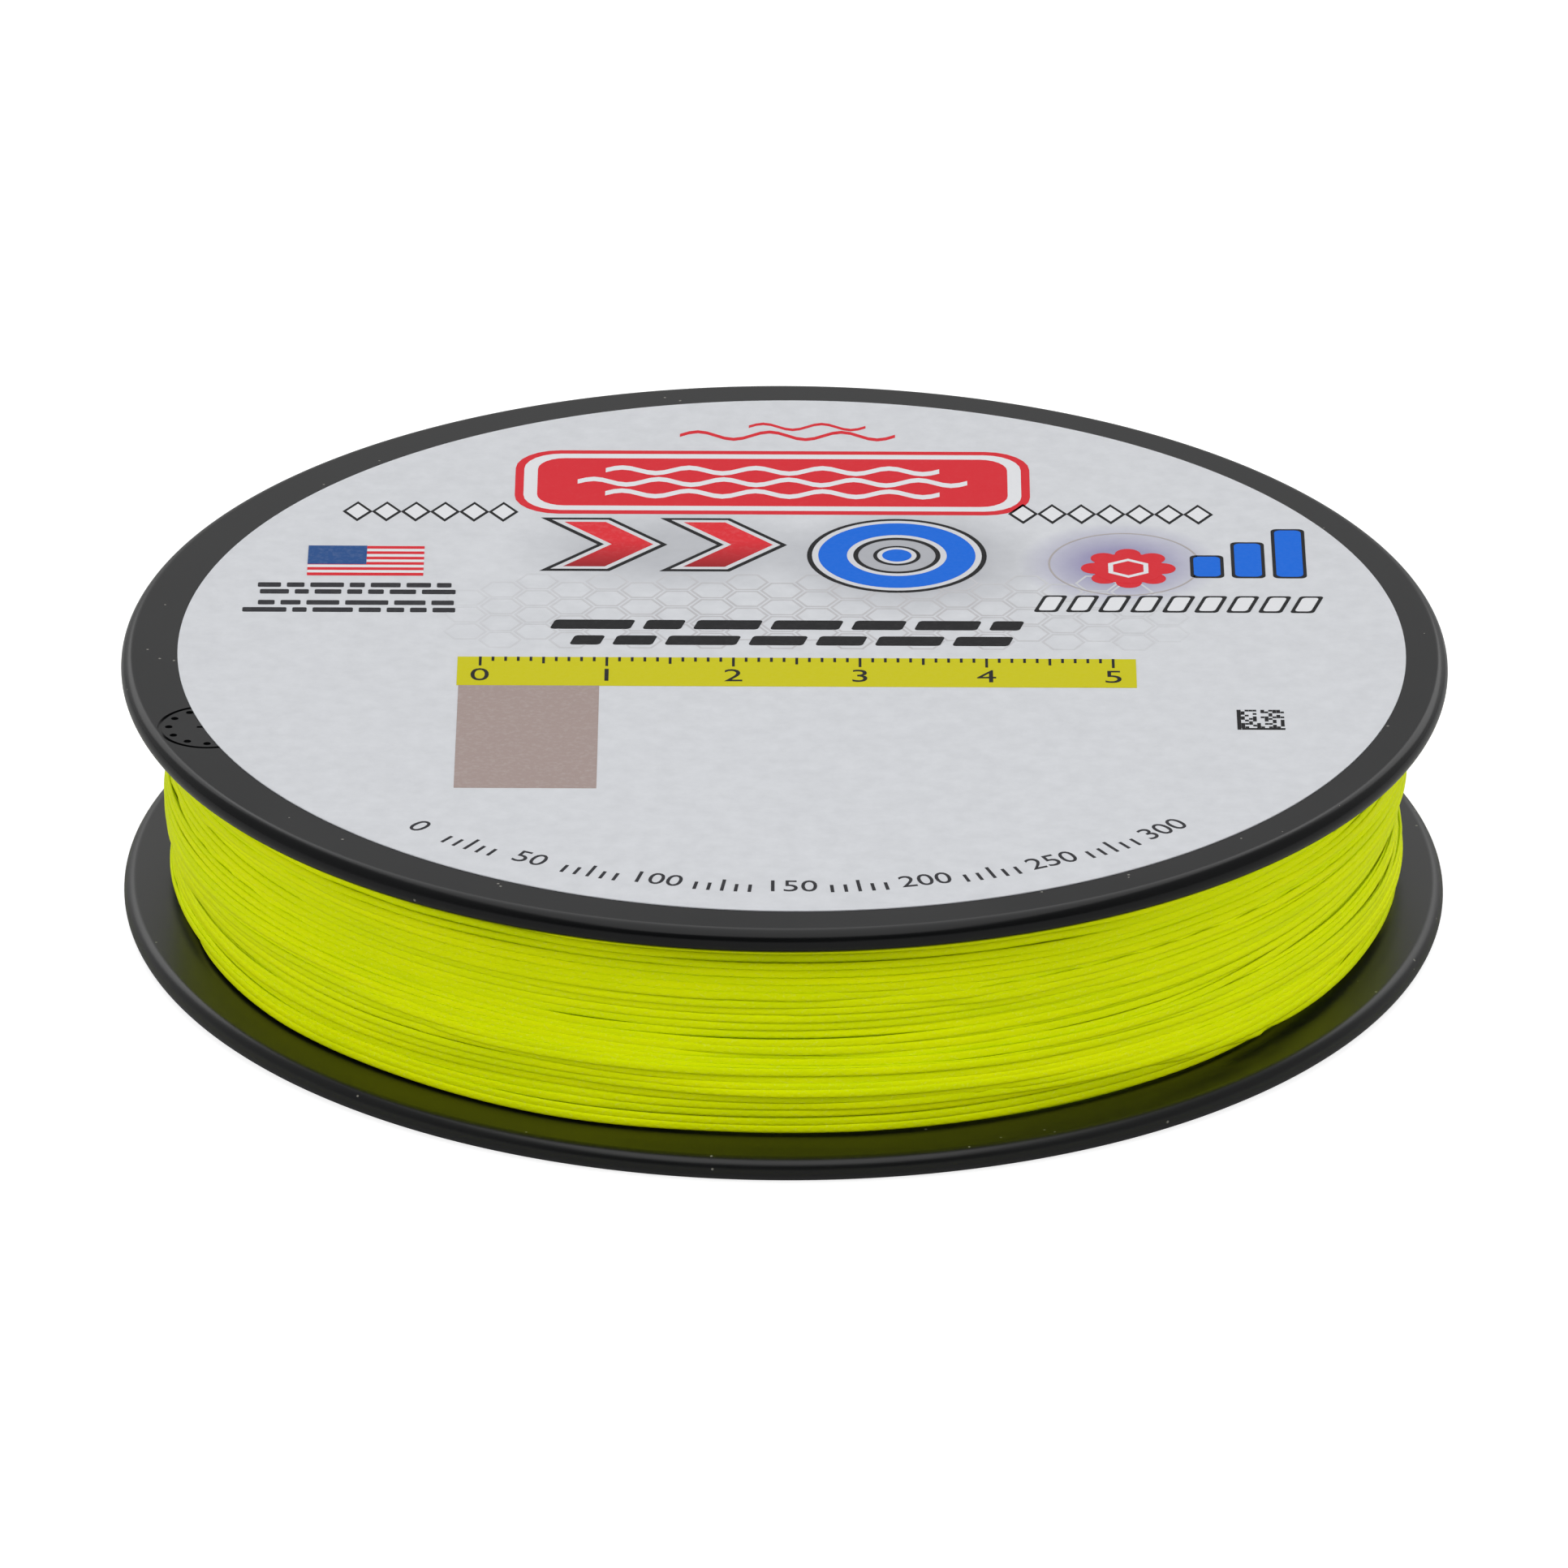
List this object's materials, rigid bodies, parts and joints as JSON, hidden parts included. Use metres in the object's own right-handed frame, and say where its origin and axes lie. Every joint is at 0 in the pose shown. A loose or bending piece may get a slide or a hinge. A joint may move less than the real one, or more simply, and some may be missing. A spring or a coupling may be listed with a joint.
{
  "type": "fishing line spool",
  "caption": "Flat round spool of wound fishing line: two black flanges pressed together at a hollow hub with a centre bore, a thick band of line between them, and a round label on the front.",
  "frame": {"origin": "centre of the rear face, on the spool's axis", "axes": "+Z along the axis, from the rear flange to the front flange with the label; +X to the right and +Y upwards on the label as it is read"},
  "size_m": [0.105, 0.105, 0.0215],
  "materials": {
    "black_plastic": "satin",
    "label_paper": "satin",
    "tape_film": "satin",
    "braided_line": "satin"
  },
  "bodies": {
    "root": {"rear_half": "black_plastic", "front_half": "black_plastic", "front_label": "label_paper", "start_tape": "tape_film", "line_inner_layers": "braided_line", "line_outer_layer": "braided_line"}
  },
  "joints": []
}
